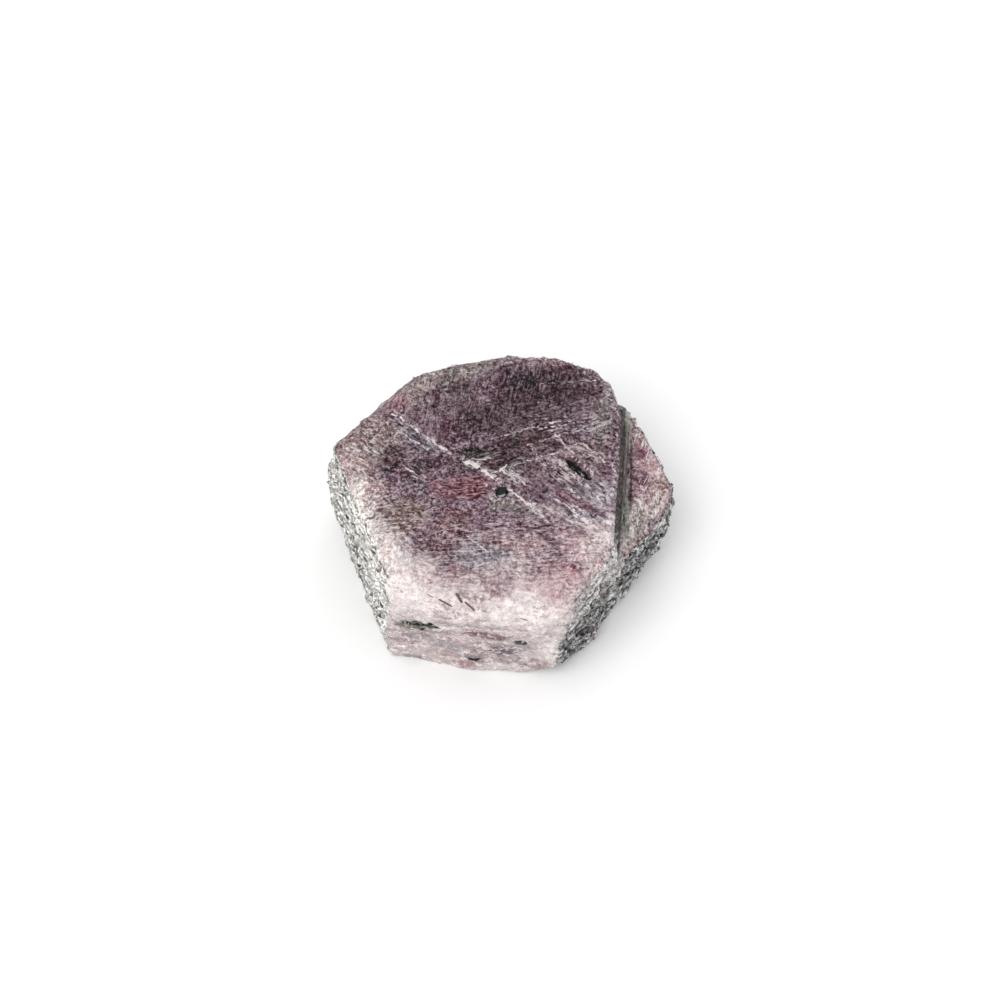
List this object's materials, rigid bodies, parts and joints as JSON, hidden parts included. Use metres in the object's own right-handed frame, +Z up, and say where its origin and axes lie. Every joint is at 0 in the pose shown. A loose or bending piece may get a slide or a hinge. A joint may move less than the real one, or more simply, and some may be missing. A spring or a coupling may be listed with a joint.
{
  "type": "raw ruby crystal",
  "caption": "Rough opaque tabular ruby crystal: a low six-sided block with a flat top, a worn front shoulder and a lower ledge along one side.",
  "frame": {"origin": "under the middle of the crystal's box, on the flat base that it rests on", "axes": "+Z up along the crystal's c axis, square to the flat top; the worn front shoulder faces -Y and the lower ledge +X"},
  "size_m": [0.0352, 0.0338, 0.012],
  "materials": {
    "ruby_crystal": "rough opaque plum to pink ruby, pale bruised edges, grey-green mica on the sides"
  },
  "bodies": {
    "root": {"ruby_crystal": "ruby_crystal"}
  },
  "joints": []
}
